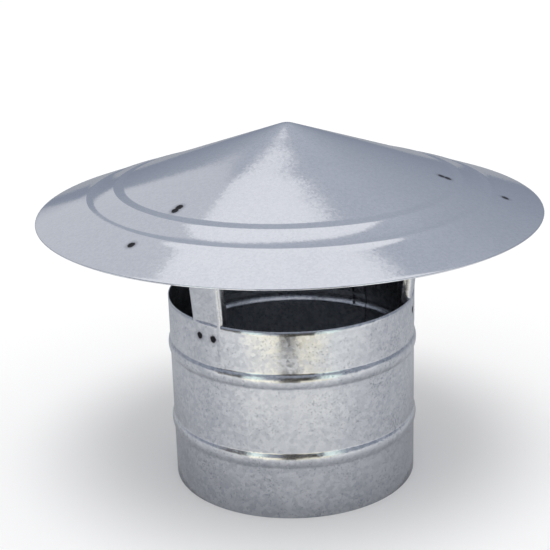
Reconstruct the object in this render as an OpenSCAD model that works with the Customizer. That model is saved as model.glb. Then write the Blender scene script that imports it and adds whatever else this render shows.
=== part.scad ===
// Chimney cap: a pressed round hood held over a flue collar by three bent straps.
// Millimetres, +Z up, origin on the axis at the collar's bottom edge.
// The front of the cap faces -Y.

/* [Collar] */
// Outside diameter of the collar, the nominal size of the flue
collar_d = 150; // [140:1:160]
// Height of the collar
collar_h = 117; // [110:1:140]
// Thickness of the collar's sheet
collar_sheet = 0.6; // [0.5:0.1:0.8]
// Height of the lower bead's middle over the bottom edge
bead_z = 37; // [30:0.5:42]
// Distance between the two beads
bead_pitch = 49.5; // [40:0.5:52]
// Width of a bead
bead_w = 8; // [6:0.5:10]
// How far a bead stands proud
bead_h = 1.2; // [0.8:0.1:1.6]
// Where the lap seam lies, counted from +X towards the back
seam_turn = 49; // [40:1:60]
// Width of the lap inside the seam
lap_w = 10; // [6:1:14]

/* [Hood] */
// Diameter of the hood over its hemmed rim
hood_d = 300; // [290:1:320]
// Height of the hood's rim over the collar's rim
hood_gap = 51; // [45:1:65]
// Thickness of the hood's sheet
hood_sheet = 0.5; // [0.4:0.1:0.7]
// Slope of the cone inside the pressed rings
cone_slope = 19; // [17:0.5:21]
// Slope of the cone outside the pressed rings
skirt_slope = 19.5; // [17:0.5:21]
// Radius of the rounded tip
tip_r = 14; // [8:1:20]
// Radius where the inner pressed ring starts
ring_in_r = 98; // [97:0.5:100]
// Radius where the outer pressed ring starts
ring_out_r = 116; // [114:0.5:118]
// Slope of the flat tread of each ring
tread_slope = 12.5; // [10:0.5:15]
// Slope of the steep edge below each tread
riser_slope = 23.5; // [21:0.5:26]
// Depth of the hem folded under the rim
hem_w = 6; // [4:0.5:9]
// Air left inside the fold of the hem
hem_gap = 0.2; // [0.1:0.1:0.4]

/* [Straps] */
// Where the right strap stands, counted from +X towards the front
strap_turn = 11; // [5:1:20]
// Width of a strap
strap_w = 22; // [18:1:26]
// Thickness of a strap
strap_t = 0.8; // [0.6:0.1:1.2]
// Depth of the folded edges that stiffen a leg
strap_edge = 5; // [3:0.5:6]
// How far a leg reaches down inside the collar
leg_depth = 22; // [16:1:24]
// Outward lean of a leg above the collar's rim, in degrees
leg_lean = 6; // [3:0.5:7]
// Radius of the axis at which a strap's arm ends under the hood
arm_end_r = 136; // [134:1:140]

/* [Welds] */
// Diameter of the mark that a weld leaves
weld_d = 4.6; // [3:0.2:6]
// Depth of the mark
weld_depth = 0.12; // [0.05:0.01:0.15]
// Radius of the double weld near the inner ring
weld_in_r = 92.5; // [91:0.5:93.5]
// Radius of the single weld near the rim
weld_out_r = 127.5; // [125:0.5:129]
// Height of the leg's welds below the collar's rim
weld_below_rim = 9; // [7:0.5:12]

/* [Hidden] */
$fn = 120;

STEEL_HOOD = [0.74, 0.77, 0.82];
STEEL_COLLAR = [0.68, 0.70, 0.72];
STEEL_STRAP = [0.62, 0.65, 0.68];

collar_r = collar_d / 2;
collar_in_r = collar_r - collar_sheet;
BEADS = [bead_z, bead_z + bead_pitch];
bead_arc = (pow(bead_w / 2, 2) + pow(bead_h, 2)) / (2 * bead_h);
bead_axis_r = collar_r + bead_h - bead_arc;
lap_angle = lap_w / collar_r * 180 / PI;
joint_w = 0.8;
joint_depth = 0.25;

hood_r = hood_d / 2;
rim_z = collar_h + hood_gap;
hem_r = hood_sheet + hem_gap / 2;
sheet_drop = hood_sheet / cos(skirt_slope);
tread_in_w = 5;
tread_out_w = 3.5;
riser_out_w = 5;

// The pressed profile from the tip outwards: each entry is the radius where a slope starts and
// the slope itself. A tread is flatter than the cone and ends in a steep edge that eases off.
BAND_STEPS = 5;
band_start_r = ring_in_r + tread_in_w;
band_slope_end = 16;
skirt_start_r = ring_out_r + tread_out_w + riser_out_w;
SLOPES = concat(
    [for (i = [0 : 3]) [tip_r * sin(cone_slope) * i / 4, cone_slope * (i + 0.5) / 4]],
    [[tip_r * sin(cone_slope), cone_slope], [ring_in_r, tread_slope]],
    [for (i = [0 : BAND_STEPS - 1])
        [band_start_r + (ring_out_r - band_start_r) * i / BAND_STEPS,
         riser_slope + (band_slope_end - riser_slope) * i / (BAND_STEPS - 1)]],
    [[ring_out_r, tread_slope],
     [ring_out_r + tread_out_w, riser_slope],
     [ring_out_r + tread_out_w + riser_out_w / 2, (riser_slope + skirt_slope) / 2],
     [skirt_start_r, skirt_slope]]);

// Where the rim's fold turns about, and the top of the sheet where the fold starts
HEM_C = [hood_r - hem_r, rim_z + hem_r];
DOWN = [cos(skirt_slope), -sin(skirt_slope)];
UP = [sin(skirt_slope), cos(skirt_slope)];
HEM_TOP = HEM_C + hem_r * UP;

// Height of the top of the sheet, summed from the rim inwards
RADII = concat([for (s = SLOPES) s[0]], [HEM_TOP[0]]);
function fall(i) = (RADII[i + 1] - RADII[i]) * tan(SLOPES[i][1]);
function top_z(i) = i == len(SLOPES) ? HEM_TOP[1] : top_z(i + 1) + fall(i);
TOP = [for (i = [0 : len(SLOPES)]) [RADII[i], top_z(i)]];
UNDER = [for (p = TOP) [p[0], p[1] - sheet_drop]];

STRAP_TURNS = [-strap_turn, -strap_turn - 120, -strap_turn + 120];
fold_r = 1.5;
arm_bend_r = 3;
arm_corner_r = 4;
arm_gap = 0.5;
edge_stop = 10;
weld_pitch = 3.4;
leg_weld_pitch = 10.5;
weld_d_leg = weld_d + 0.4;
weld_z = collar_h - weld_below_rim;

// The folded edges of a leg just touch the inside of the collar
strap_fit = 0.03;
leg_x = sqrt(pow(collar_in_r - strap_fit - fold_r, 2) - pow(strap_w / 2 - fold_r, 2)) + fold_r;
leg_low_z = collar_h - leg_depth;
kink_z = collar_h + 0.8;
kink_lap = 0.6;
kink_step = 0.1;

// Length of the leaning part of a leg that brings the arm just under the hood
arm_turn = 90 + cone_slope - leg_lean;
ARM_UP = [sin(cone_slope), cos(cone_slope)];
ARM_AIM = [weld_in_r, lookup(weld_in_r, UNDER) - arm_gap];
LEAN_START = [leg_x, kink_z];
BEND_OFFSET = arm_bend_r * [cos(leg_lean), -sin(leg_lean)];
leg_rise = ((ARM_AIM - LEAN_START - BEND_OFFSET) * ARM_UP - arm_bend_r - strap_t)
    / cos(cone_slope - leg_lean);
BEND_C = LEAN_START + leg_rise * [sin(leg_lean), cos(leg_lean)] + BEND_OFFSET;
arm_len = (arm_end_r - BEND_C[0] - arm_bend_r * ARM_UP[0]) / cos(cone_slope);

// Section of the hood: the sheet from the tip to the rim, round the open fold and back
module hood_section() {
    fold_out = [for (a = [90 - skirt_slope : -22.5 : -90 - skirt_slope])
        HEM_C + hem_r * [cos(a), sin(a)]];
    fold_in = [for (a = [-90 - skirt_slope : 60 : 90 - skirt_slope])
        HEM_C + (hem_gap / 2) * [cos(a), sin(a)]];
    hem_end = [HEM_C - hem_r * UP - hem_w * DOWN, HEM_C - (hem_gap / 2) * UP - hem_w * DOWN];
    under = [for (i = [len(UNDER) - 2 : -1 : 0]) UNDER[i]];
    sheet = [for (i = [0 : len(TOP) - 2]) TOP[i]];
    polygon(concat(sheet, fold_out, hem_end, fold_in, under));
}

// Everything over the underside of the hood, to trim what reaches up to it
module over_hood() {
    rotate_extrude() polygon(concat(UNDER, [[hood_r, rim_z + 90], [0, rim_z + 90]]));
}

// Round mark of a weld, sunk in a face whose outward normal is +Z
module weld_mark(d) {
    translate([0, 0, -weld_depth]) cylinder(d = d, h = 1);
}

// Places its children on the top of the hood at radius r, turned square to the cone
module on_hood(r, slope) {
    translate([r, 0, lookup(r, TOP)]) rotate([0, slope, 0]) children();
}

module hood() {
    color(STEEL_HOOD) difference() {
        rotate_extrude() hood_section();
        for (turn = STRAP_TURNS) rotate([0, 0, turn]) {
            for (side = [-1, 1])
                on_hood(weld_in_r + side * weld_pitch / 2, cone_slope) weld_mark(weld_d);
            on_hood(weld_out_r, skirt_slope) weld_mark(weld_d);
        }
    }
}

// Section of a layer of the collar's wall, from inset a to inset b below its outer face.
// The beads bulge outwards, with every layer's arc about the same centre.
module wall_layer(a, b) {
    difference() {
        union() {
            translate([collar_r - b, 0]) square([b - a, collar_h]);
            for (z = BEADS) intersection() {
                translate([bead_axis_r, z]) circle(r = bead_arc - a);
                translate([collar_r - b, z - bead_w]) square([bead_w, 2 * bead_w]);
            }
        }
        for (z = BEADS) translate([bead_axis_r, z]) circle(r = bead_arc - b);
    }
}

module collar() {
    color(STEEL_COLLAR) difference() {
        union() {
            rotate_extrude() wall_layer(0, collar_sheet);
            // The inner end of the sheet, lapped under the outer end
            rotate([0, 0, seam_turn])
                rotate_extrude(angle = lap_angle) wall_layer(collar_sheet / 2, 2 * collar_sheet);
        }
        // The line where the outer end stops, flush with the wall
        rotate([0, 0, seam_turn + lap_angle / 4])
            rotate_extrude(angle = joint_w / collar_r * 180 / PI) wall_layer(-1, joint_depth);
        for (turn = STRAP_TURNS, side = [-1, 1])
            rotate([0, 0, turn + side * leg_weld_pitch / 2 / collar_r * 180 / PI])
                translate([collar_r, 0, weld_z]) rotate([0, 90, 0]) weld_mark(weld_d_leg);
    }
}

// Section of a leg: a web whose outer face lies on x = 0, with both edges folded inwards
module leg_section(edge) {
    difference() {
        fold_outline(edge, strap_w, 0, fold_r);
        fold_outline(edge + strap_t, strap_w - 2 * strap_t, strap_t, fold_r - strap_t);
    }
}

module fold_outline(deep, w, inset, r) {
    translate([-deep, -w / 2]) square([deep - inset - r, w]);
    translate([-inset - r, r - w / 2]) square([r, w - 2 * r]);
    for (side = [-1, 1]) translate([-inset - r, side * (w / 2 - r)]) circle(r = r);
}

module web_section() {
    translate([-strap_t, -strap_w / 2]) square([strap_t, strap_w]);
}

// A bend towards +X of the strip's section, whose outer face is the hollow side
module strip_bend(turn, r) {
    translate([r, 0, 0]) rotate([90, 0, 180])
        rotate_extrude(angle = turn) translate([r, 0]) mirror([1, 0]) children();
}

// Carries what follows round the same bend
module after_bend(turn, r) {
    translate([r, 0, 0]) rotate([0, turn, 0]) translate([-r, 0, 0]) children();
}

// The arm's plate lies along +Z with its outer face on x = 0, and has round end corners
module arm_plate() {
    rotate([0, -90, 0]) linear_extrude(strap_t) {
        translate([0, -strap_w / 2]) square([arm_len - arm_corner_r, strap_w]);
        translate([0, arm_corner_r - strap_w / 2]) square([arm_len, strap_w - 2 * arm_corner_r]);
        for (side = [-1, 1])
            translate([arm_len - arm_corner_r, side * (strap_w / 2 - arm_corner_r)])
                circle(r = arm_corner_r);
    }
}

// The leaning part starts a little below the kink, where it laps the upright part
module leaning_leg() {
    difference() {
        translate([0, 0, -kink_lap])
            linear_extrude(kink_lap + leg_rise - edge_stop) leg_section(strap_edge - kink_step);
        // The folded edges end on a slant
        translate([-strap_t, -strap_w, leg_rise - edge_stop]) rotate([0, -135, 0])
            cube([2 * strap_edge, 2 * strap_w, 2 * strap_edge]);
    }
    translate([0, 0, leg_rise - edge_stop - strap_edge])
        linear_extrude(edge_stop + strap_edge) web_section();
}

// Pips of the leg that the welds sank into the collar's wall
module leg_pips() {
    intersection() {
        cylinder(r = collar_in_r, h = collar_h);
        for (side = [-1, 1])
            rotate([0, 0, side * leg_weld_pitch / 2 / collar_r * 180 / PI])
                translate([leg_x - strap_t, 0, weld_z]) rotate([0, 90, 0])
                    cylinder(d = weld_d_leg, h = 2);
    }
}

// Pips of the arm that carry the hood, trimmed by its underside
module arm_pips() {
    difference() {
        for (r = [weld_in_r - weld_pitch / 2, weld_in_r + weld_pitch / 2, weld_out_r])
            translate([r, 0, lookup(r, UNDER)]) rotate([0, cone_slope, 0])
                translate([0, 0, -arm_gap - strap_t]) cylinder(d = weld_d, h = 2);
        over_hood();
    }
}

module strap(turn) {
    color(STEEL_STRAP) rotate([0, 0, turn]) {
        translate([leg_x, 0, leg_low_z])
            linear_extrude(kink_z + kink_lap - leg_low_z) leg_section(strap_edge);
        translate([leg_x, 0, kink_z]) rotate([0, leg_lean, 0]) {
            leaning_leg();
            translate([0, 0, leg_rise]) {
                strip_bend(arm_turn, arm_bend_r) web_section();
                after_bend(arm_turn, arm_bend_r) arm_plate();
            }
        }
        leg_pips();
        arm_pips();
    }
}

module right_strap() strap(STRAP_TURNS[0]);
module front_left_strap() strap(STRAP_TURNS[1]);
module rear_strap() strap(STRAP_TURNS[2]);

hood();
collar();
right_strap();
front_left_strap();
rear_strap();
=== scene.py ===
"""Chimney cap: a pressed rain hood on three bent straps over a beaded flue collar, in galvanised sheet."""

import math

import bpy
from mathutils import Matrix, Vector


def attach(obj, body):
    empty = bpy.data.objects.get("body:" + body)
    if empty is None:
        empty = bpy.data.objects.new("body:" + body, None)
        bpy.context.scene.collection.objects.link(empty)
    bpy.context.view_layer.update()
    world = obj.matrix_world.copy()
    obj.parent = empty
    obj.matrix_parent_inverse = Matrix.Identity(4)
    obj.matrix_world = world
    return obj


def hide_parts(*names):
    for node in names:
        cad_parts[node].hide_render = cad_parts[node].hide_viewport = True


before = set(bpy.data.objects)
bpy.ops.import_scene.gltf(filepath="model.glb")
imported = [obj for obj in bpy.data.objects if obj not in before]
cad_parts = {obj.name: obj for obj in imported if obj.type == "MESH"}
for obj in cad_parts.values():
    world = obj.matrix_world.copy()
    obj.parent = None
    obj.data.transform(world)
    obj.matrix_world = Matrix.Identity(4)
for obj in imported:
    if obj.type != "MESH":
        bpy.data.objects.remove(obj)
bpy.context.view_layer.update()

MM = 0.001
MERGE_WITHIN = 0.00001

# The hood, in millimetres, as the source has it
HOOD_R, RIM_Z, SHEET = 150.0, 168.0, 0.5
HEM_DEEP, HEM_GAP = 6.0, 0.2
HEM_FOLD_R = SHEET + HEM_GAP / 2
SKIRT_SLOPE = 19.5
# Radius and slope where the pressed profile changes; in between the slope changes evenly
SLOPE_MARKS = [
    (0, 0), (4.6, 19), (97.4, 19), (98.6, 12.5), (102.5, 12.5), (103.6, 23.5), (115.4, 16),
    (116.6, 12.5), (119.0, 12.5), (120.0, 23.5), (122.0, 23.5), (124.5, SKIRT_SLOPE), (151, SKIRT_SLOPE),
]
WELD_R, WELD_OUT_R = 2.3, 127.5
WELD_IN_R = (90.8, 94.2)

# The collar
COLLAR_R, COLLAR_H, WALL = 75.0, 117.0, 0.6
BEADS = (37.0, 86.5)
CREST_R, FLANK_R, FLANK_SLOPE = 9.0, 3.0, 26.0
LEG_WELD_Z, LEG_WELD_SIDE, LEG_WELD_R = 108.0, 5.25, 2.5
SEAM_TURN, LAP_TURN = 49.0, 7.64
JOINT_START, JOINT_TURN, JOINT_DEEP = 50.91, 0.61, 0.25

# The straps
STRAP_TURNS = {"right_strap": -11.0, "front_left_strap": -131.0, "rear_strap": 109.0}
STRAPS_APART = 120.0
STRAP_W, STRAP_T, EDGE_DEEP, FOLD_R = 22.0, 0.8, 5.0, 1.5
LEG_X, LEG_LOW_Z, KINK_Z, LEAN = 73.748, 95.0, 117.8, 6.0
ARM_BEND_R, ARM_TURN, ARM_SLOPE, ARM_END_R = 3.0, 103.0, 19.0, 136.0
BEND_CENTRE = (83.95, 186.48)
ARM_CORNER_R = 4.0


def smooth(x):
    """A soft step from 0 to 1."""
    x = min(max(x, 0.0), 1.0)
    return x * x * (3 - 2 * x)


def slope_at(r):
    for (r0, s0), (r1, s1) in zip(SLOPE_MARKS, SLOPE_MARKS[1:]):
        if r <= r1:
            return s0 + (s1 - s0) * (r - r0) / (r1 - r0)
    return SKIRT_SLOPE


def summed_heights():
    """Height of the top of the sheet every tenth of a millimetre, summed from the rim inwards."""
    start = HOOD_R - HEM_FOLD_R + HEM_FOLD_R * math.sin(math.radians(SKIRT_SLOPE))
    z = RIM_Z + HEM_FOLD_R + HEM_FOLD_R * math.cos(math.radians(SKIRT_SLOPE))
    steps = 1496
    heights = {steps: z}
    for i in range(steps - 1, -1, -1):
        z += start / steps * math.tan(math.radians(slope_at((i + 0.5) * start / steps)))
        heights[i] = z
    return heights, start / steps


HEIGHTS, HEIGHT_STEP = summed_heights()


def hood_top(r):
    i = min(int(r / HEIGHT_STEP), len(HEIGHTS) - 2)
    part = r / HEIGHT_STEP - i
    return HEIGHTS[i] * (1 - part) + HEIGHTS[i + 1] * part


# Modelling, as by hand


def clear_selection():
    for o in list(bpy.context.selected_objects):
        o.select_set(False)


def pen_down(name, at):
    """A new piece that starts as one vertex, to draw from."""
    clear_selection()
    bpy.ops.mesh.primitive_plane_add(size=0.002, location=at)
    piece = bpy.context.object
    piece.name = piece.data.name = name
    bpy.ops.object.mode_set(mode="EDIT")
    bpy.ops.mesh.merge(type="CENTER")
    return piece


def draw_to(points):
    """Extrudes the selected vertex from point to point."""
    for here, there in zip(points, points[1:]):
        step = Vector(there) - Vector(here)
        bpy.ops.mesh.extrude_region_move(TRANSFORM_OT_translate={"value": step})


def turn_round(bands):
    """Spins the selected section about the axis, counter-clockwise, band by band of (degrees, steps)."""
    for degrees, steps in bands:
        bpy.ops.mesh.spin(steps=steps, angle=-math.radians(degrees), center=(0, 0, 0), axis=(0, 0, 1))


def close_up():
    """Merges the seam and the poles, and turns the faces outwards."""
    bpy.ops.mesh.select_all(action="SELECT")
    bpy.ops.mesh.remove_doubles(threshold=MERGE_WITHIN)
    bpy.ops.mesh.normals_make_consistent(inside=False)


def lift_out(piece):
    """Leaves edit mode with the piece's place in its mesh and its faces smooth."""
    bpy.ops.object.mode_set(mode="OBJECT")
    bpy.ops.object.transform_apply(location=True, rotation=True, scale=True)
    bpy.ops.object.shade_smooth()
    return piece


def round_section(section, turn):
    """Points of a section (radius, height) in millimetres, stood up at that turn about the axis."""
    a = math.radians(turn)
    return [Vector((r * math.cos(a), r * math.sin(a), z)) * MM for r, z in section]


def arc(centre, r, start, end, steps):
    """Points round an arc, angles in degrees from +r towards +z."""
    turns = [math.radians(start + (end - start) * i / steps) for i in range(steps + 1)]
    return [(centre[0] + r * math.cos(a), centre[1] + r * math.sin(a)) for a in turns]


def off_strap(turn):
    """Degrees from the nearest strap's middle."""
    half = STRAPS_APART / 2
    return (turn - STRAP_TURNS["right_strap"] + half) % STRAPS_APART - half


def dish(distance, r):
    """Depth of the dimple that a weld leaves, with a low lip round it, in millimetres."""
    if distance < r:
        return -0.13 * smooth(1.25 * (1 - distance / r))
    return 0.03 * smooth(1 - abs(distance / r - 1.12) / 0.16)


def span(start, end, step):
    count = max(1, round((end - start) / step))
    return [start + (end - start) * i / count for i in range(count + 1)]


# The hood's shell

RING_RADII = [
    97.4, 97.8, 98.2, 98.6, 99.5, 101, 102.1, 102.5, 102.8, 103.1, 103.4, 103.7, 104.4, 106, 108, 110, 112,
    114, 115.2, 115.6, 116, 116.4, 116.8, 118, 119, 119.35, 119.7, 120.1, 120.8, 121.5, 122, 122.6, 123.4, 124.5,
]


def hood_section():
    """The sheet from the tip to the rim, round the open fold, back along the hem and under to the axis."""
    tip = [0, 0.8, 1.6, 2.4, 3.2, 4, 4.8]
    cone = span(8, 88, 5)
    over = tip + cone + span(88.4, 97, 0.43) + RING_RADII + span(125.2, 129.9, 0.43) + [133, 137, 141, 145, 148]
    under = tip[::2] + span(8, 96, 8) + RING_RADII[::2] + [128, 134, 140, 145, 148]
    drop = SHEET / math.cos(math.radians(SKIRT_SLOPE))
    fold = (HOOD_R - HEM_FOLD_R, RIM_Z + HEM_FOLD_R)
    slope = math.radians(SKIRT_SLOPE)
    inner = HEM_GAP / 2
    back_in = (fold[0] - HEM_DEEP * math.cos(slope), fold[1] + HEM_DEEP * math.sin(slope))
    low_end = (back_in[0] - HEM_FOLD_R * math.sin(slope), back_in[1] - HEM_FOLD_R * math.cos(slope))
    high_end = (back_in[0] - inner * math.sin(slope), back_in[1] - inner * math.cos(slope))
    return (
        [(r, hood_top(r)) for r in over]
        + arc(fold, HEM_FOLD_R, 90 - SKIRT_SLOPE, -90 - SKIRT_SLOPE, 12)
        + [low_end, high_end]
        + arc(fold, inner, -90 - SKIRT_SLOPE, 90 - SKIRT_SLOPE, 6)
        + [(r, hood_top(r) - drop) for r in reversed(under)]
    )


def make_hood():
    half = 2.2
    start = STRAP_TURNS["right_strap"] - half
    points = round_section(hood_section(), start)
    piece = pen_down("hood_shell", points[0])
    draw_to(points)
    bpy.ops.mesh.select_all(action="SELECT")
    over_weld, between = (2 * half, 16), (STRAPS_APART - 2 * half, 77)
    turn_round([over_weld, between] * len(STRAP_TURNS))
    close_up()
    lift_out(piece)
    for v in piece.data.vertices:
        r = math.hypot(v.co.x, v.co.y) / MM
        if r < 86 or v.co.z / MM < hood_top(r) - 0.2:
            continue
        turn = math.degrees(math.atan2(v.co.y, v.co.x))
        off = off_strap(turn)
        out, side = r * math.cos(math.radians(off)), r * math.sin(math.radians(off))
        near_in = min(math.hypot(out - w, side) for w in WELD_IN_R)
        near_out = math.hypot(out - WELD_OUT_R, side)
        v.co.z += dish(min(near_in, near_out), WELD_R) * MM
    return piece


# The collar's wall and lap


def wall_line(inset):
    """Line of the wall at that depth under its outer face, from the bottom to the top, over both beads."""
    r = COLLAR_R - inset
    slope = math.radians(FLANK_SLOPE)
    flank = FLANK_R + inset
    crest = CREST_R - inset
    half = (crest + flank) * math.sin(slope)
    crest_axis = r + (crest + flank) * (1 - math.cos(slope)) - crest
    line = []
    for z in BEADS:
        low = arc((r + flank, z - half), flank, 180, 180 - FLANK_SLOPE, 4)
        top = arc((crest_axis, z), crest, -FLANK_SLOPE, FLANK_SLOPE, 10)
        high = arc((r + flank, z + half), flank, 180 + FLANK_SLOPE, 180, 4)
        line += low + top[1:-1] + high
    return line


def collar_section():
    edge = 0.12
    out = [(COLLAR_R - edge, 0), (COLLAR_R, edge)] + [(COLLAR_R, z) for z in (10, 20)] + wall_line(0)
    beads_up = [p for p in out if p[1] > 0]
    low = [p for p in beads_up if p[1] < 60] + [(COLLAR_R, z) for z in (55, 65, 75)]
    high = [p for p in beads_up if p[1] > 60]
    top = [(COLLAR_R, z) for z in span(96, 104.4, 4.2) + span(104.8, 111.2, 0.53) + [114, COLLAR_H - edge]]
    inner_r = COLLAR_R - WALL
    inside = [(inner_r, 114), (inner_r, 105)]
    back = list(reversed(wall_line(WALL)))
    inside += [p for p in back if p[1] > 60] + [(inner_r, 70), (inner_r, 55)] + [p for p in back if p[1] < 60]
    inside += [(inner_r, 15), (inner_r, edge), (inner_r + edge, 0), (COLLAR_R - edge, 0)]
    return (
        [(COLLAR_R - edge, 0)] + low + high + top
        + [(COLLAR_R - edge, COLLAR_H), (inner_r + edge, COLLAR_H), (inner_r, COLLAR_H - edge)] + inside
    )


def make_collar():
    half = 7.0
    points = round_section(collar_section(), STRAP_TURNS["right_strap"] - half)
    piece = pen_down("collar_wall", points[0])
    draw_to(points)
    bpy.ops.mesh.select_all(action="SELECT")
    over_weld, between = (2 * half, 28), (STRAPS_APART - 2 * half, 53)
    first = STRAP_TURNS["right_strap"] + half
    after_joint = JOINT_START + JOINT_TURN
    second = STRAP_TURNS["rear_strap"] - half
    turn_round([
        over_weld, (JOINT_START - first, 27), (JOINT_TURN, 4), (second - after_joint, 25),
        over_weld, between, over_weld, between,
    ])
    close_up()
    lift_out(piece)
    lap = make_lap()
    clear_selection()
    lap.select_set(True)
    piece.select_set(True)
    bpy.context.view_layer.objects.active = piece
    bpy.ops.object.join()
    for v in piece.data.vertices:
        r, z = math.hypot(v.co.x, v.co.y) / MM, v.co.z / MM
        turn = math.degrees(math.atan2(v.co.y, v.co.x))
        if r < COLLAR_R - 0.2:
            continue
        inwards = 0.0
        if JOINT_START + 0.1 < turn < JOINT_START + JOINT_TURN - 0.1:
            inwards = JOINT_DEEP
        off = off_strap(turn)
        side = abs(math.radians(off) * COLLAR_R)
        if z > 100:
            inwards -= dish(math.hypot(side - LEG_WELD_SIDE, z - LEG_WELD_Z), LEG_WELD_R)
        v.co.x *= (r - inwards) / r
        v.co.y *= (r - inwards) / r
    return piece


def make_lap():
    """The inner end of the collar's sheet, lapped under the outer end and open to the eye inside."""
    outer, inner = wall_line(0.5), wall_line(2 * WALL)
    r_out, r_in = COLLAR_R - 0.5, COLLAR_R - 2 * WALL
    section = [(r_out, 0.3)] + outer + [(r_out, COLLAR_H - 0.3), (r_in, COLLAR_H - 0.3)]
    section += list(reversed(inner)) + [(r_in, 0.3), (r_out, 0.3)]
    points = round_section(section, SEAM_TURN)
    piece = pen_down("collar_lap", points[0])
    draw_to(points)
    bpy.ops.mesh.select_all(action="SELECT")
    bpy.ops.mesh.remove_doubles(threshold=MERGE_WITHIN)
    bpy.ops.mesh.edge_face_add()
    bpy.ops.mesh.select_all(action="SELECT")
    turn_round([(LAP_TURN, 4)])
    bpy.ops.mesh.edge_face_add()
    close_up()
    return lift_out(piece)


# The straps' strips


def pick_vertices(piece, wanted):
    """Selects the vertices for which wanted(x, y, z) holds, in millimetres, and leaves edit mode on."""
    bpy.ops.mesh.select_all(action="DESELECT")
    bpy.ops.object.mode_set(mode="OBJECT")
    place = piece.matrix_world
    for v in piece.data.vertices:
        at = place @ v.co / MM
        v.select = wanted(at.x, at.y, at.z)
    bpy.ops.object.mode_set(mode="EDIT")


def make_strap(name):
    """One strap: a leg with folded edges, unrolled below the bend, and the arm under the hood."""
    half = STRAP_W / 2
    fold = [(LEG_X - FOLD_R + x, y) for x, y in arc((0, -half + FOLD_R), FOLD_R, -90, 0, 4)]
    web = [(LEG_X, y) for y in (-5, 0, 5)]
    across = [(LEG_X - EDGE_DEEP, -half)] + fold + web + [(x, -y) for x, y in reversed(fold)]
    across += [(LEG_X - EDGE_DEEP, half)]
    points = [Vector((x, y, LEG_LOW_Z)) * MM for x, y in across]
    piece = pen_down(name + "_strip", points[0])
    draw_to(points)
    bpy.ops.mesh.select_all(action="SELECT")
    lean = math.radians(LEAN)
    along = Vector((math.sin(lean), 0, math.cos(lean)))
    half_lean = Vector((math.sin(lean / 2), 0, math.cos(lean / 2)))
    bend_x = BEND_CENTRE[0] - ARM_BEND_R * math.cos(lean)
    bend_z = BEND_CENTRE[1] + ARM_BEND_R * math.sin(lean)
    bend_start = Vector((bend_x, 0, bend_z))
    rise = (bend_start - Vector((LEG_X, 0, KINK_Z))).length
    unroll = 10.0
    steps = [Vector((0, 0, KINK_Z - 1 - LEG_LOW_Z)), half_lean * 2, along * (rise - 1 - unroll)]
    for step in steps:
        bpy.ops.mesh.extrude_region_move(TRANSFORM_OT_translate={"value": step * MM})
    slant_edges(piece, along)
    # The web goes on alone and lies flat
    top = LEG_LOW_Z + sum(step.z for step in steps)
    web_low = top - FOLD_R - 0.6
    web_in = LEG_X - FOLD_R - 0.05
    pick_vertices(piece, lambda x, y, z: z > web_low and x > web_in + (z - KINK_Z) * math.tan(lean))
    bpy.ops.mesh.extrude_region_move(TRANSFORM_OT_translate={"value": along * 3 * MM})
    lay_flat(piece)
    bpy.ops.mesh.extrude_region_move(TRANSFORM_OT_translate={"value": along * (unroll - 3) * MM})
    centre = Vector((BEND_CENTRE[0], 0, BEND_CENTRE[1])) * MM
    bpy.ops.mesh.spin(steps=10, angle=-math.radians(ARM_TURN), center=centre, axis=(0, 1, 0))
    slope = math.radians(ARM_SLOPE)
    length = (ARM_END_R - BEND_CENTRE[0] - ARM_BEND_R * math.sin(slope)) / math.cos(slope)
    for part in (0.3, 0.3, 0.3, 0.1):
        step = Vector((math.cos(slope), 0, -math.sin(slope))) * length * part
        bpy.ops.mesh.extrude_region_move(TRANSFORM_OT_translate={"value": step * MM})
    bpy.ops.mesh.select_all(action="SELECT")
    bpy.ops.mesh.remove_doubles(threshold=MERGE_WITHIN)
    pick_vertices(piece, lambda x, y, z: x > ARM_END_R - 0.3 and abs(y) > half - 0.1)
    bpy.ops.mesh.bevel(offset=ARM_CORNER_R * MM, segments=5, affect="VERTICES")
    bpy.ops.mesh.select_all(action="SELECT")
    bpy.ops.mesh.normals_make_consistent(inside=False)
    bpy.ops.object.mode_set(mode="OBJECT")
    return piece


def slant_edges(piece, along):
    """Ends the folded edges on a slant: a vertex slides down the leg by its depth behind the web."""
    bpy.ops.object.mode_set(mode="OBJECT")
    place = piece.matrix_world
    top = max((place @ v.co).z for v in piece.data.vertices)
    for v in piece.data.vertices:
        if v.select:
            web_x = LEG_X * MM + (top - KINK_Z * MM) * along.x / along.z
            v.co -= along * max(0.0, web_x - (place @ v.co).x)
    bpy.ops.object.mode_set(mode="EDIT")


def lay_flat(piece):
    """Brings the selected row into the web's plane."""
    bpy.ops.object.mode_set(mode="OBJECT")
    place = piece.matrix_world
    row = [v for v in piece.data.vertices if v.select]
    far = max((place @ v.co).x for v in row)
    high = max((place @ v.co).z for v in row)
    for v in row:
        v.co.x += far - (place @ v.co).x
        v.co.z += high - (place @ v.co).z
    bpy.ops.object.mode_set(mode="EDIT")


def finish_strap(piece, turn):
    thick = piece.modifiers.new("sheet", "SOLIDIFY")
    thick.thickness = STRAP_T * MM
    thick.offset = -1.0
    edge = piece.modifiers.new("edge", "BEVEL")
    edge.width = 0.15 * MM
    edge.segments = 2
    edge.limit_method = "ANGLE"
    edge.angle_limit = math.radians(60)
    clear_selection()
    piece.select_set(True)
    bpy.context.view_layer.objects.active = piece
    for name in [m.name for m in piece.modifiers]:
        bpy.ops.object.modifier_apply(modifier=name)
    bpy.ops.object.transform_apply(location=True, rotation=True, scale=True)
    piece.data.transform(Matrix.Rotation(math.radians(turn), 4, "Z"))
    bpy.ops.object.shade_smooth_by_angle(angle=math.radians(35))
    return piece


# Finishes


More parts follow.
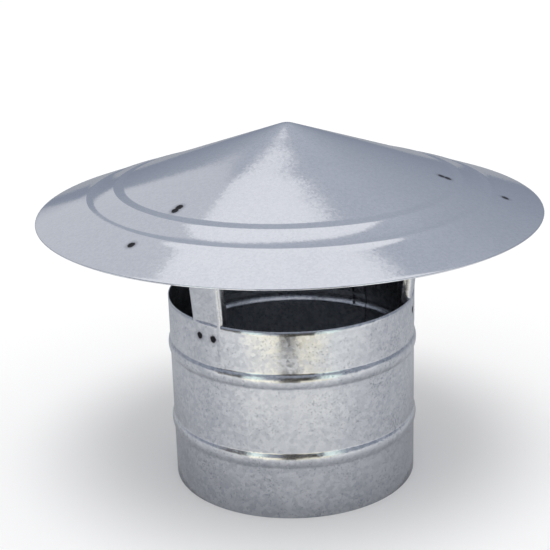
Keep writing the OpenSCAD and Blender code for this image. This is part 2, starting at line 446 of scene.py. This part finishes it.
class Sketch:
    """Places nodes in a material, a world or a group and joins them."""

    def __init__(self, tree):
        self.tree = tree
        self.column = 0

    def put(self, kind):
        """A new node in the next column."""
        made = self.tree.nodes.new(kind)
        made.location = (self.column * 180 - 1400, -(self.column % 4) * 160)
        self.column += 1
        return made

    def node(self, kind, **sockets):
        made = self.put(kind)
        for name, value in sockets.items():
            self.feed(made.inputs[name.replace("_", " ")], value)
        return made

    def feed(self, socket, value):
        if isinstance(value, bpy.types.NodeSocket):
            self.tree.links.new(value, socket)
        else:
            socket.default_value = value

    def math(self, operation, *values, clamp=False):
        made = self.put("ShaderNodeMath")
        made.operation = operation
        made.use_clamp = clamp
        for socket, value in zip(made.inputs, values):
            self.feed(socket, value)
        return made.outputs[0]

    def ramp(self, value, low, high, to_low=0.0, to_high=1.0, kind="SMOOTHSTEP"):
        """Value mapped from low..high to to_low..to_high, softly."""
        made = self.node("ShaderNodeMapRange")
        made.interpolation_type = kind
        names = ("Value", "From Min", "From Max", "To Min", "To Max")
        for name, given in zip(names, (value, low, high, to_low, to_high)):
            self.feed(made.inputs[name], given)
        return made.outputs["Result"]

    def blend(self, part, first, second):
        made = self.put("ShaderNodeMix")
        made.data_type = "RGBA"
        self.feed(made.inputs[0], part)
        self.feed(made.inputs[6], first)
        self.feed(made.inputs[7], second)
        return made.outputs[2]

    def vector(self, operation, *values):
        made = self.put("ShaderNodeVectorMath")
        made.operation = operation
        for socket, value in zip(made.inputs, values):
            self.feed(socket, value)
        return made.outputs["Vector"]


def new_group(name, inputs, outputs):
    """An empty group with those sockets; returns its sketch, its input node and its output node."""
    tree = bpy.data.node_groups.new(name, "ShaderNodeTree")
    for label, kind, value in inputs:
        socket = tree.interface.new_socket(label, in_out="INPUT", socket_type=kind)
        if value is not None:
            socket.default_value = value
    for label, kind in outputs:
        tree.interface.new_socket(label, in_out="OUTPUT", socket_type=kind)
    sketch = Sketch(tree)
    return sketch, tree.nodes.new("NodeGroupInput"), tree.nodes.new("NodeGroupOutput")


def place_group(sketch, tree, **sockets):
    made = sketch.put("ShaderNodeGroup")
    made.node_tree = tree
    for name, value in sockets.items():
        sketch.feed(made.inputs[name.replace("_", " ")], value)
    return made


def weld_marks_group():
    """Burnt spots of the welds on hood and arms, and on collar and legs, found from the place alone."""
    s, given, made = new_group(
        "weld_marks",
        [("Position", "NodeSocketVector", None)],
        [("Burn", "NodeSocketFloat"), ("Halo", "NodeSocketFloat")],
    )
    parts = s.node("ShaderNodeSeparateXYZ", Vector=given.outputs["Position"])
    x, y, z = parts.outputs
    turn = s.math("SUBTRACT", s.math("ARCTAN2", y, x), math.radians(STRAP_TURNS["right_strap"]))
    off = s.math("WRAP", turn, math.radians(60), math.radians(-60))
    r = s.math("SQRT", s.math("ADD", s.math("MULTIPLY", x, x), s.math("MULTIPLY", y, y)))
    out, side = s.math("MULTIPLY", r, s.math("COSINE", off)), s.math("MULTIPLY", r, s.math("SINE", off))
    spots = []
    for at in WELD_IN_R + (WELD_OUT_R,):
        dx = s.math("SUBTRACT", out, at * MM)
        d = s.math("SQRT", s.math("ADD", s.math("MULTIPLY", dx, dx), s.math("MULTIPLY", side, side)))
        spots.append(s.math("ADD", d, s.ramp(z, 0.12, 0.15, 1.0, 0.0)))
    dx = s.math("SUBTRACT", s.math("ABSOLUTE", side), LEG_WELD_SIDE * MM)
    dz = s.math("SUBTRACT", z, LEG_WELD_Z * MM)
    spots.append(s.math("SQRT", s.math("ADD", s.math("MULTIPLY", dx, dx), s.math("MULTIPLY", dz, dz))))
    nearest = spots[0]
    for d in spots[1:]:
        nearest = s.math("MINIMUM", nearest, d)
    rough = s.node("ShaderNodeTexNoise", Vector=given.outputs["Position"], Scale=900.0, Detail=2.0)
    ragged = s.math("ADD", nearest, s.math("MULTIPLY", s.math("SUBTRACT", rough.outputs["Fac"], 0.5), 0.0011))
    s.feed(made.inputs["Burn"], s.ramp(ragged, 0.0026, 0.0017))
    s.feed(made.inputs["Halo"], s.ramp(ragged, 0.0048, 0.0022))
    return s.tree


def zinc_group():
    """Crystals of the zinc coat: each has its own tone and leans a little its own way; specks lie between them."""
    s, given, made = new_group(
        "zinc_coat",
        [
            ("Position", "NodeSocketVector", None), ("Crystal", "NodeSocketFloat", 0.002),
            ("Lean", "NodeSocketFloat", 0.02), ("Speck", "NodeSocketFloat", 0.001),
        ],
        [("Tone", "NodeSocketFloat"), ("Specks", "NodeSocketFloat"), ("Normal", "NodeSocketVector")],
    )
    scale = s.math("DIVIDE", 1.0, given.outputs["Crystal"])
    cells = s.node("ShaderNodeTexVoronoi", Vector=given.outputs["Position"], Scale=scale)
    s.feed(made.inputs["Tone"], s.node("ShaderNodeSeparateColor", Color=cells.outputs["Color"]).outputs[0])
    lean = s.vector("SUBTRACT", cells.outputs["Color"], (0.5, 0.5, 0.5))
    scaled = s.node("ShaderNodeVectorMath")
    scaled.operation = "SCALE"
    s.feed(scaled.inputs[0], lean)
    s.feed(scaled.inputs["Scale"], given.outputs["Lean"])
    normal = s.node("ShaderNodeNewGeometry").outputs["Normal"]
    s.feed(made.inputs["Normal"], s.vector("NORMALIZE", s.vector("ADD", normal, scaled.outputs[0])))
    speck_scale = s.math("DIVIDE", 1.0, given.outputs["Speck"])
    fine = s.node("ShaderNodeTexNoise", Vector=given.outputs["Position"], Scale=speck_scale, Detail=1.5)
    patch = s.node("ShaderNodeTexNoise", Vector=given.outputs["Position"], Scale=60.0, Detail=2.0)
    patchy = s.math("MULTIPLY", s.math("SUBTRACT", patch.outputs["Fac"], 0.5), 0.35)
    level = s.math("ADD", fine.outputs["Fac"], patchy)
    s.feed(made.inputs["Specks"], s.ramp(level, 0.60, 0.72))
    return s.tree


def galvanised(
    name, welds, zinc, tint, dark, rough, rough_spread, crystal, lean, speck, speck_part, wave_high, wave_size,
):
    """A galvanised finish for one kind of sheet: tint and tone, specks, burnt weld spots and a slow wave."""
    material = bpy.data.materials.new(name)
    material.use_nodes = True
    shader = material.node_tree.nodes["Principled BSDF"]
    s = Sketch(material.node_tree)
    place = s.node("ShaderNodeTexCoord").outputs["Object"]
    coat = place_group(s, zinc, Position=place, Crystal=crystal, Lean=lean, Speck=speck)
    marks = place_group(s, welds, Position=place)
    slow = s.node("ShaderNodeTexNoise", Vector=place, Scale=22.0, Detail=3.0)
    crystal_tone = s.math("MULTIPLY", coat.outputs["Tone"], 0.6)
    tone = s.math("ADD", crystal_tone, s.math("MULTIPLY", slow.outputs["Fac"], 0.8))
    zinc_colour = s.blend(s.ramp(tone, 0.3, 1.1), dark, tint)
    specked = s.blend(s.math("MULTIPLY", coat.outputs["Specks"], speck_part), zinc_colour, (0.16, 0.18, 0.21, 1))
    tempered = s.blend(s.math("MULTIPLY", marks.outputs["Halo"], 0.45), specked, (0.30, 0.30, 0.34, 1))
    s.feed(shader.inputs["Base Color"], s.blend(marks.outputs["Burn"], tempered, (0.022, 0.022, 0.026, 1)))
    dull = s.math("ADD", rough - rough_spread / 2, s.math("MULTIPLY", tone, rough_spread))
    s.feed(shader.inputs["Roughness"], s.math("ADD", dull, s.math("MULTIPLY", marks.outputs["Burn"], 0.3), clamp=True))
    wave = s.node("ShaderNodeTexNoise", Vector=place, Scale=1.0 / wave_size, Detail=1.0)
    bump = s.node("ShaderNodeBump", Strength=1.0, Distance=wave_high)
    s.feed(bump.inputs["Height"], wave.outputs["Fac"])
    s.feed(bump.inputs["Normal"], coat.outputs["Normal"])
    s.feed(shader.inputs["Normal"], bump.outputs["Normal"])
    shader.inputs["Metallic"].default_value = 1.0
    return material


def dress(piece, material, slot, *nodes):
    piece.data.materials.clear()
    piece.data.materials.append(material)
    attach(piece, "root")
    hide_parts(*nodes)


def make_pieces():
    welds, zinc = weld_marks_group(), zinc_group()
    hood_zinc = galvanised(
        "hood_galvanised_sheet", welds, zinc, tint=(0.80, 0.815, 0.845, 1), dark=(0.74, 0.757, 0.79, 1),
        rough=0.085, rough_spread=0.03, crystal=0.0013, lean=0.010, speck=0.0011, speck_part=0.05,
        wave_high=0.00035, wave_size=0.05,
    )
    collar_zinc = galvanised(
        "collar_galvanised_sheet", welds, zinc, tint=(0.74, 0.752, 0.775, 1), dark=(0.58, 0.598, 0.63, 1),
        rough=0.20, rough_spread=0.10, crystal=0.0022, lean=0.04, speck=0.0011, speck_part=0.45,
        wave_high=0.0002, wave_size=0.03,
    )
    strap_zinc = galvanised(
        "strap_galvanised_strip", welds, zinc, tint=(0.72, 0.735, 0.76, 1), dark=(0.59, 0.605, 0.635, 1),
        rough=0.22, rough_spread=0.10, crystal=0.0018, lean=0.04, speck=0.0011, speck_part=0.3,
        wave_high=0.0001, wave_size=0.02,
    )
    dress(make_hood(), hood_zinc, "hood_steel", "hood")
    dress(make_collar(), collar_zinc, "collar_steel", "collar")
    for name, turn in STRAP_TURNS.items():
        strip = finish_strap(make_strap(name), turn)
        dress(strip, strap_zinc, "strap_steel", name)


# Floor, light and camera


def make_floor():
    clear_selection()
    bpy.ops.mesh.primitive_plane_add(size=12.0, location=(0, 0, 0))
    floor = bpy.context.object
    floor.name = "floor"
    material = bpy.data.materials.new("floor_paper")
    material.use_nodes = True
    s = Sketch(material.node_tree)
    shader = material.node_tree.nodes["Principled BSDF"]
    place = s.node("ShaderNodeSeparateXYZ", Vector=s.node("ShaderNodeTexCoord").outputs["Object"])
    # Painted shade: rays off the metal see the floor grey, darker further back, in place of the dim room it mirrors;
    # the camera sees it plain white.
    near = s.ramp(place.outputs["Y"], -0.30, -0.05)
    far = s.ramp(place.outputs["Y"], -0.05, 0.5)
    mirrored = s.blend(near, (0.88, 0.885, 0.89, 1), (0.55, 0.56, 0.59, 1))
    mirrored = s.blend(far, mirrored, (0.33, 0.35, 0.39, 1))
    seen = s.node("ShaderNodeLightPath").outputs["Is Glossy Ray"]
    s.feed(shader.inputs["Base Color"], s.blend(seen, (0.95, 0.95, 0.955, 1), mirrored))
    shader.inputs["Roughness"].default_value = 0.9
    shader.inputs["Specular IOR Level"].default_value = 0.0
    floor.data.materials.append(material)


def make_card(name, corners, colour, strength):
    """A studio card that only the metal's reflections show; corners are two opposite ones, in metres."""
    clear_selection()
    low, high = Vector(corners[0]), Vector(corners[1])
    bpy.ops.mesh.primitive_plane_add(size=1.0, location=(low + high) / 2, rotation=(math.radians(90), 0, 0))
    card = bpy.context.object
    card.name = name
    card.scale = (high.x - low.x, high.z - low.z, 1)
    material = bpy.data.materials.new(name)
    material.use_nodes = True
    shader = material.node_tree.nodes["Principled BSDF"]
    shader.inputs["Base Color"].default_value = (0, 0, 0, 1)
    shader.inputs["Specular IOR Level"].default_value = 0.0
    shader.inputs["Emission Color"].default_value = (*colour, 1)
    shader.inputs["Emission Strength"].default_value = strength
    card.data.materials.append(material)
    card.visible_camera = card.visible_diffuse = card.visible_shadow = card.visible_transmission = False


def make_surroundings():
    """The room as the metal mirrors it: a bright ceiling panel behind, a paler wall at the left."""
    world = bpy.data.worlds.new("studio")
    bpy.context.scene.world = world
    world.use_nodes = True
    s = Sketch(world.node_tree)
    away = s.node("ShaderNodeTexCoord").outputs["Generated"]
    x, y, z = s.node("ShaderNodeSeparateXYZ", Vector=away).outputs
    turn = s.math("MULTIPLY", s.math("ARCTAN2", x, y), 180 / math.pi)
    height = s.math("MULTIPLY", s.math("ARCSINE", z), 180 / math.pi)
    # The lower edge of the ceiling panel, in degrees above the horizon, round the back of the room
    edge = s.node("ShaderNodeValToRGB")
    reach = 60.0
    s.feed(edge.inputs[0], s.ramp(turn, -reach, reach, kind="LINEAR"))
    marks = [
        (-60, 49), (-25, 48.5), (-21, 47), (-17, 45), (-10, 48.5), (-2, 51.3), (5, 52.5), (18, 52), (60, 50),
    ]
    stops = edge.color_ramp.elements
    while len(stops) < len(marks):
        stops.new(0.5)
    for stop, (at, up) in zip(stops, marks):
        stop.position = (at + reach) / (2 * reach)
        stop.color = (up / 90, up / 90, up / 90, 1)
    over = s.math("SUBTRACT", height, s.math("MULTIPLY", edge.outputs["Color"], 90.0))
    panel = s.ramp(over, -0.5, 0.5)
    wall = s.math("MULTIPLY", s.ramp(turn, -17.0, -18.0), s.ramp(turn, -95.0, -60.0))
    wall = s.math("MULTIPLY", wall, s.ramp(height, -2.0, 12.0))
    low = s.blend(s.ramp(height, 0.0, 45.0, kind="LINEAR"), (0.25, 0.28, 0.35, 1), (0.46, 0.49, 0.56, 1))
    low = s.blend(wall, low, (0.60, 0.62, 0.67, 1))
    mirrored = s.blend(panel, low, (0.86, 0.87, 0.91, 1))
    glossy = s.node("ShaderNodeLightPath").outputs["Is Glossy Ray"]
    background = world.node_tree.nodes["Background"]
    soft = s.blend(s.ramp(y, -0.8, 0.8), (1.05, 1.05, 1.05, 1), (0.62, 0.62, 0.62, 1))
    s.feed(background.inputs["Color"], s.blend(glossy, soft, mirrored))


def make_lights():
    data = bpy.data.lights.new("overhead_softbox", "SUN")
    data.angle = math.radians(28)
    data.energy = 0.85
    light = bpy.data.objects.new("overhead_softbox", data)
    light.rotation_euler = (math.radians(12), 0, 0)
    light.visible_glossy = False
    light.visible_camera = False
    bpy.context.scene.collection.objects.link(light)
    warm, cool = (1.0, 0.93, 0.74), (0.86, 1.0, 0.95)
    make_card("window_left_low", ((-0.26, -0.32, 0.0), (-0.065, -0.32, 0.06)), warm, 1.6)
    make_card("window_left_high", ((-0.26, -0.321, 0.06), (-0.15, -0.321, 0.165)), cool, 1.4)
    make_card("window_right_low", ((0.02, -0.32, 0.0), (0.19, -0.32, 0.05)), warm, 1.25)
    make_card("window_right_high", ((0.13, -0.321, 0.05), (0.25, -0.321, 0.165)), cool, 1.3)
    make_card("camera_side", ((-0.065, -0.325, 0.0), (0.115, -0.325, 0.165)), (0.30, 0.27, 0.22), 0.22)
    make_card("doorway_left", ((-0.75, -0.34, 0.04), (-0.30, -0.34, 0.165)), (0.34, 0.30, 0.26), 0.30)


def make_camera():
    """The viewpoint found from the outlines of collar and hood, in the photograph's square frame."""
    data = bpy.data.cameras.new("camera")
    camera = bpy.data.objects.new("camera", data)
    bpy.context.scene.collection.objects.link(camera)
    bpy.context.scene.camera = camera
    pitch, yaw, roll = math.radians(18.811), math.radians(-0.713), math.radians(-1.730)
    ahead = Vector((math.sin(yaw) * math.cos(pitch), math.cos(yaw) * math.cos(pitch), -math.sin(pitch)))
    level = ahead.cross(Vector((0, 0, 1))).normalized()
    up = level.cross(ahead)
    right = level * math.cos(roll) + up * math.sin(roll)
    top = up * math.cos(roll) - level * math.sin(roll)
    turned = Matrix((right, top, -ahead)).transposed().to_4x4()
    camera.matrix_world = Matrix.Translation((0, -0.7598, 0.3842)) @ turned
    data.sensor_width = 36.0
    data.lens = 86.29
    data.clip_start, data.clip_end = 0.01, 50.0


bpy.context.scene.view_settings.view_transform = "Standard"
make_pieces()
make_floor()
make_surroundings()
make_lights()
make_camera()
